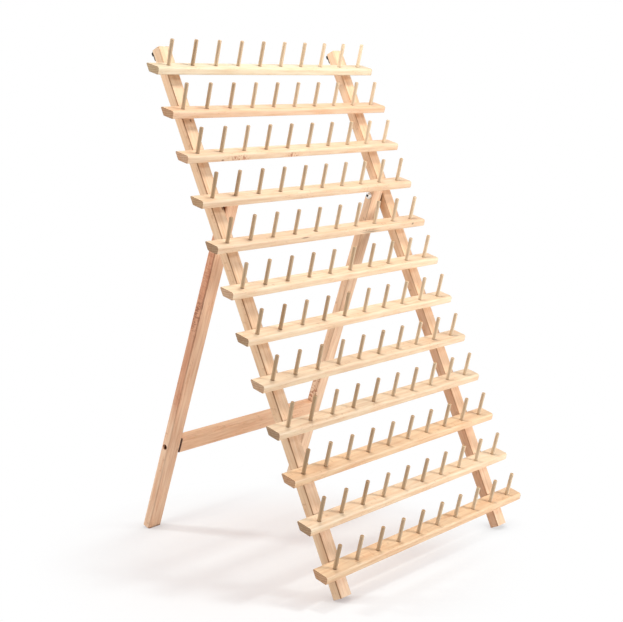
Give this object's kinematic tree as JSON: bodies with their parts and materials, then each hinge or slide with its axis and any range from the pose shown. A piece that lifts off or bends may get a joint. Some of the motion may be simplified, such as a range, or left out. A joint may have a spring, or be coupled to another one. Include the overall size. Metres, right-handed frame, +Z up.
{
  "type": "thread spool rack",
  "caption": "Folding wooden A-frame rack: sloping shelves across two leaning uprights carry rows of pegs for thread spools, and a pair of back legs folds flat behind them.",
  "frame": {"origin": "on the floor, midway between the two uprights and midway between the front and back ends of the standing rack", "axes": "+Z up, +X along the shelves to the right seen from the front, -Y to the front"},
  "size_m": [0.396, 0.3657, 0.6312],
  "materials": {
    "frame_wood": "satin clear finish on pale beech, straight fine grain",
    "peg_wood": "plain sanded dowel",
    "leg_wood": "satin clear finish on slightly redder beech",
    "zinc_steel": "bright zinc plating",
    "dark_steel": "dull dark plating"
  },
  "bodies": {
    "rack": {"left_upright": "frame_wood", "right_upright": "frame_wood", "shelf_01": "frame_wood", "shelf_02": "frame_wood", "shelf_03": "frame_wood", "shelf_04": "frame_wood", "shelf_05": "frame_wood", "shelf_06": "frame_wood", "shelf_07": "frame_wood", "shelf_08": "frame_wood", "shelf_09": "frame_wood", "shelf_10": "frame_wood", "shelf_11": "frame_wood", "shelf_12": "frame_wood", "pegs_01": "peg_wood", "pegs_02": "peg_wood", "pegs_03": "peg_wood", "pegs_04": "peg_wood", "pegs_05": "peg_wood", "pegs_06": "peg_wood", "pegs_07": "peg_wood", "pegs_08": "peg_wood", "pegs_09": "peg_wood", "pegs_10": "peg_wood", "pegs_11": "peg_wood", "pegs_12": "peg_wood", "pivot_screws": "zinc_steel", "pivot_washers": "zinc_steel", "shelf_nails": "zinc_steel", "left_hanger": "dark_steel", "right_hanger": "dark_steel", "hanger_nails": "dark_steel"},
    "back_legs": {"left_back_leg": "leg_wood", "right_back_leg": "leg_wood", "stretcher": "leg_wood", "stretcher_screws": "zinc_steel"}
  },
  "joints": [
    {"name": "leg_fold", "type": "hinge", "parent": "rack", "child": "back_legs", "pos_m": [0, 0.02638, 0.42994], "axis": [-1, 0, 0], "range_deg": [0, 44.3]}
  ]
}
